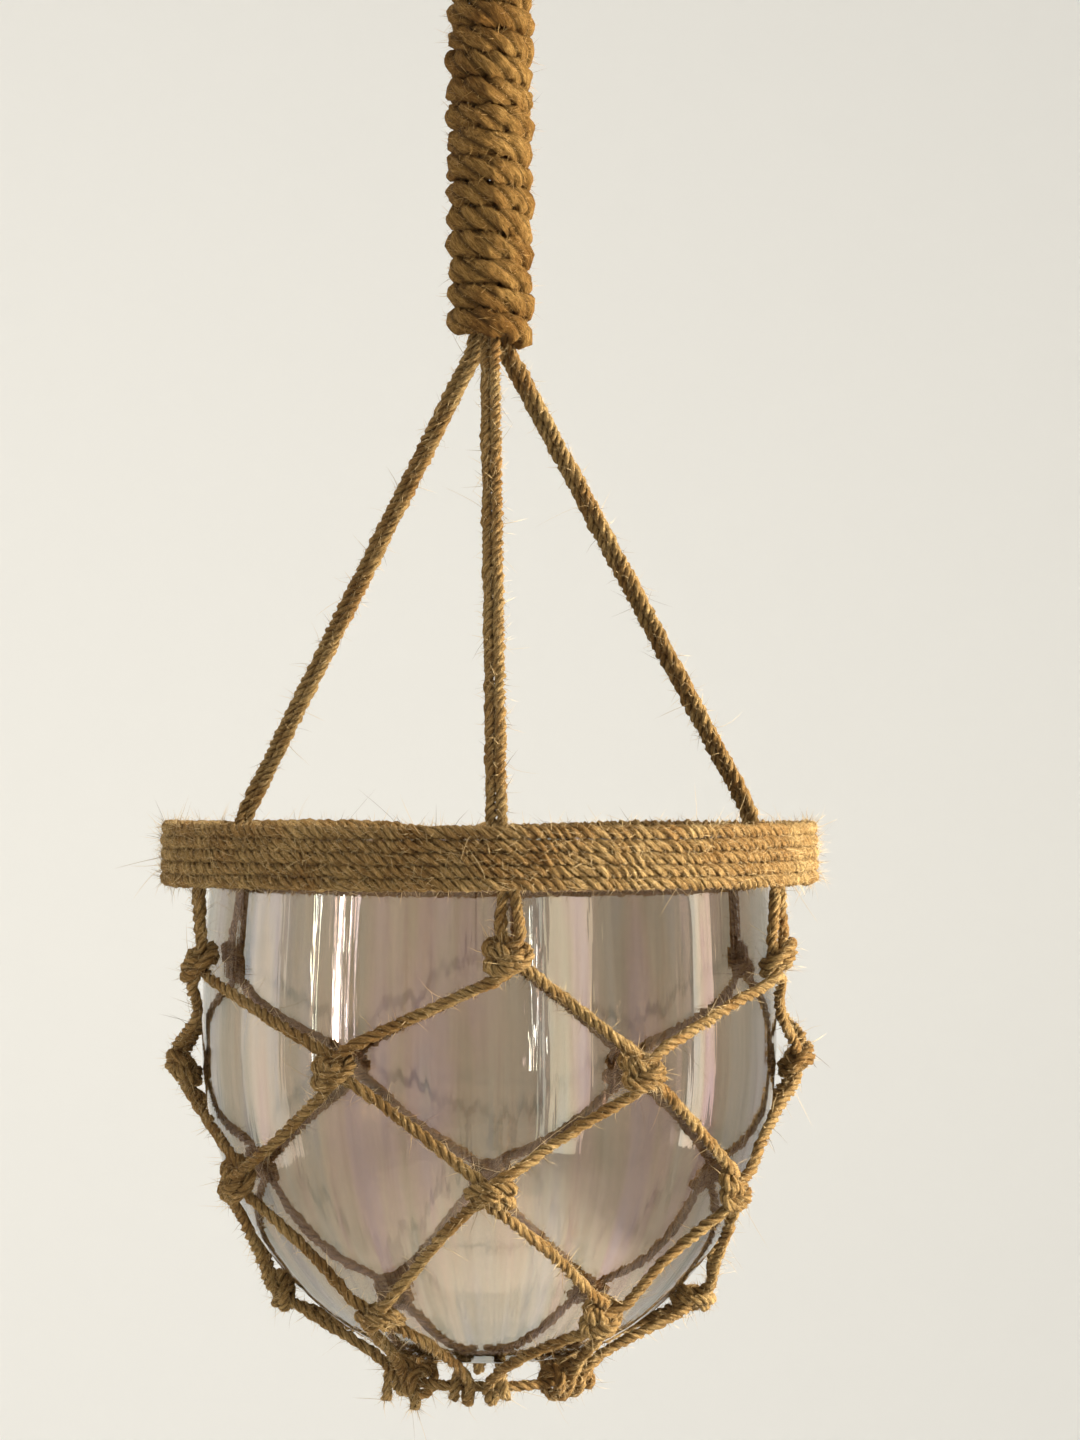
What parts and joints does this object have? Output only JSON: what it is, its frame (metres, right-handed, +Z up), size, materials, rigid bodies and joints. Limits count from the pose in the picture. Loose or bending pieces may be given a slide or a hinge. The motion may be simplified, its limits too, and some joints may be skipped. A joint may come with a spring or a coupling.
{
  "type": "hanging planter",
  "caption": "Round-bottomed clear glass bowl carried in a knotted net of natural fibre cord, hung by taut cords from a rope-wound column with a loop.",
  "frame": {"origin": "the bearing point under the crown of the hanging loop, where a hook carries the planter", "axes": "+Z up along the planter's axis, -Y the front, +X to the right seen from the front"},
  "size_m": [0.2675, 0.2651, 0.6258],
  "materials": {
    "glass": "clear, faint lustre",
    "jute_cord": "hairy three-ply cord",
    "jute_rope": "hairy three-strand rope",
    "hoop_wood": "split cane"
  },
  "bodies": {
    "root": {"glass_bowl": "glass", "rim_hoop": "hoop_wood", "rim_binding": "jute_cord", "rope_column": "jute_rope", "hanger_cord_front": "jute_cord", "hanger_cord_middle": "jute_cord", "hanger_cord_back": "jute_cord", "hoop_cord_right": "jute_cord", "hoop_cord_back": "jute_cord", "hoop_cord_left": "jute_cord", "base_ring": "jute_cord"}
  },
  "joints": []
}
